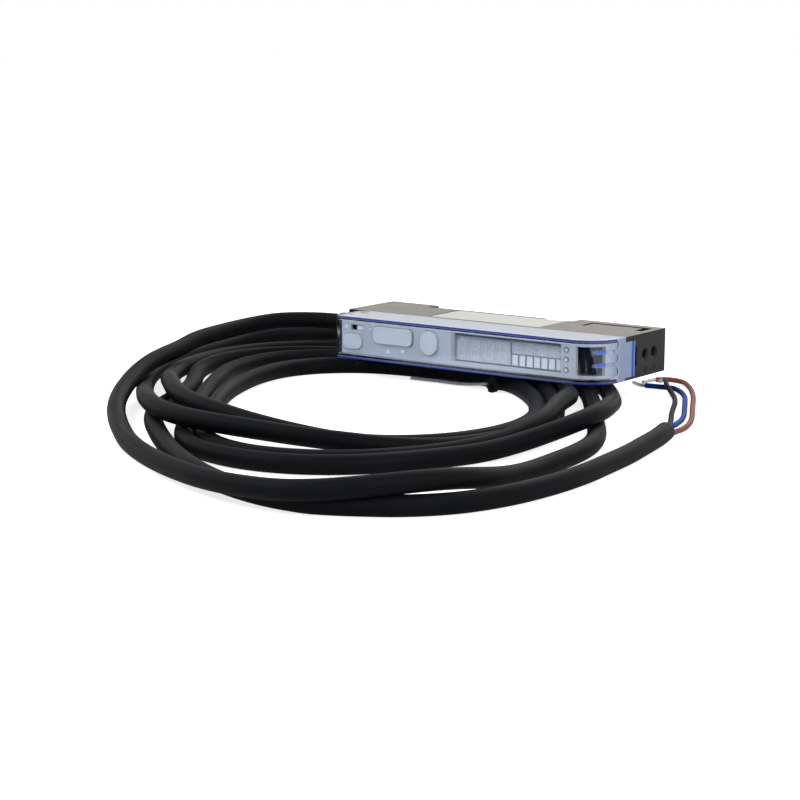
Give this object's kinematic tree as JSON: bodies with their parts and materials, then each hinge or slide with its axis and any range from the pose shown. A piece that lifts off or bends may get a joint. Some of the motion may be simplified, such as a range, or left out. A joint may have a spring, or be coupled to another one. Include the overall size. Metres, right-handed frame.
{
  "type": "fibre optic sensor amplifier",
  "caption": "Slim rail-mounted fibre optic sensor amplifier with a hinged clear cover over its control panel, fibre ports and a coiled lead with bare conductors.",
  "frame": {"origin": "middle of the rail seat, on the rail's centre line and half way through the housing's thickness", "axes": "+X to the fibre end, along the housing; +Y out of the rail seat, away from the control face; +Z to the labelled flat side, along the rail"},
  "size_m": [0.1579, 0.1669, 0.0152],
  "materials": {
    "case_plastic": "fine moulded grain",
    "label_foil": "satin printed foil, bare",
    "clear_cover": "clear blue polycarbonate",
    "panel_plastic": "satin",
    "button_plastic": "satin",
    "window_plastic": "smoked clear plastic",
    "display_face": "dull display face",
    "light_pipe": "milky light guide",
    "black_plastic": "moulded",
    "latch_plastic": "moulded",
    "clamp_plastic": "moulded",
    "board_laminate": "solder resist",
    "chip_plastic": "moulded",
    "pin_metal": "gilt",
    "steel": "bright",
    "lens_red": "clear red",
    "lens_dark": "dark",
    "jacket": "satin black jacket",
    "brown_insulation": "satin",
    "blue_insulation": "satin",
    "black_insulation": "satin",
    "tinned_wire": "tinned strands",
    "tie_strip": "coated strip"
  },
  "bodies": {
    "housing": {"main_case": "case_plastic", "side_cover": "case_plastic", "label_plate": "label_foil", "front_panel": "panel_plastic", "display_window": "window_plastic", "digit_display_left": "display_face", "digit_display_right": "display_face", "bar_guide": "light_pipe", "lamp_guide": "light_pipe", "optics_holder": "black_plastic", "switch_body": "black_plastic", "panel_board": "board_laminate", "main_board": "board_laminate", "board_parts": "chip_plastic", "tact_switches": "chip_plastic", "board_header": "pin_metal", "lever_pin": "steel", "latch_spring": "steel", "emitter_led": "lens_red", "receiver_diode": "lens_dark", "strain_relief": "jacket", "cable_lead": "jacket", "cable_coil": "jacket", "cable_tail": "jacket", "wire_brown": "brown_insulation", "wire_blue": "blue_insulation", "wire_black": "black_insulation", "wire_tips": "tinned_wire", "twist_tie": "tie_strip"},
    "front_cover_body": {"front_cover": "clear_cover"},
    "mode_button_body": {"mode_button": "button_plastic"},
    "value_rocker_body": {"value_rocker": "button_plastic"},
    "set_button_body": {"set_button": "button_plastic"},
    "switch_knob_body": {"switch_knob": "light_pipe"},
    "lock_lever_body": {"lock_lever": "black_plastic"},
    "clamp_slide_body": {"clamp_slide": "clamp_plastic"},
    "rail_latch_body": {"rail_latch": "latch_plastic"}
  },
  "joints": [
    {"name": "cover_hinge", "type": "hinge", "parent": "housing", "child": "front_cover_body", "pos_m": [-0.0245, -0.0178, 0], "axis": [0, 0, -1], "range_deg": [0, 90]},
    {"name": "mode_press", "type": "slide", "parent": "housing", "child": "mode_button_body", "axis": [0, 1, 0], "range_m": [0, 0.0004], "stiffness_N_per_m": 200},
    {"name": "value_rock", "type": "hinge", "parent": "housing", "child": "value_rocker_body", "pos_m": [-0.011, -0.02005, 0.00115], "axis": [0, 0, 1], "range_deg": [-2.5, 2.5], "stiffness_Nm_per_rad": 0.02},
    {"name": "set_press", "type": "slide", "parent": "housing", "child": "set_button_body", "axis": [0, 1, 0], "range_m": [0, 0.0004], "stiffness_N_per_m": 200},
    {"name": "output_select", "type": "slide", "parent": "housing", "child": "switch_knob_body", "axis": [-1, 0, 0], "range_m": [0, 0.0016]},
    {"name": "fibre_lock", "type": "hinge", "parent": "housing", "child": "lock_lever_body", "pos_m": [0.038, -0.0185, 0], "axis": [0, 0, 1], "range_deg": [0, 80]},
    {"name": "fibre_clamp", "type": "slide", "parent": "housing", "child": "clamp_slide_body", "axis": [0, 1, 0], "range_m": [0, 0.0005]},
    {"name": "rail_release", "type": "slide", "parent": "housing", "child": "rail_latch_body", "axis": [1, 0, 0], "range_m": [0, 0.002], "stiffness_N_per_m": 300, "deforming": ["latch_spring"]}
  ],
  "couplings": [
    {"joint": "fibre_lock", "follows": "fibre_clamp", "rad_per_m": 2792.5}
  ]
}
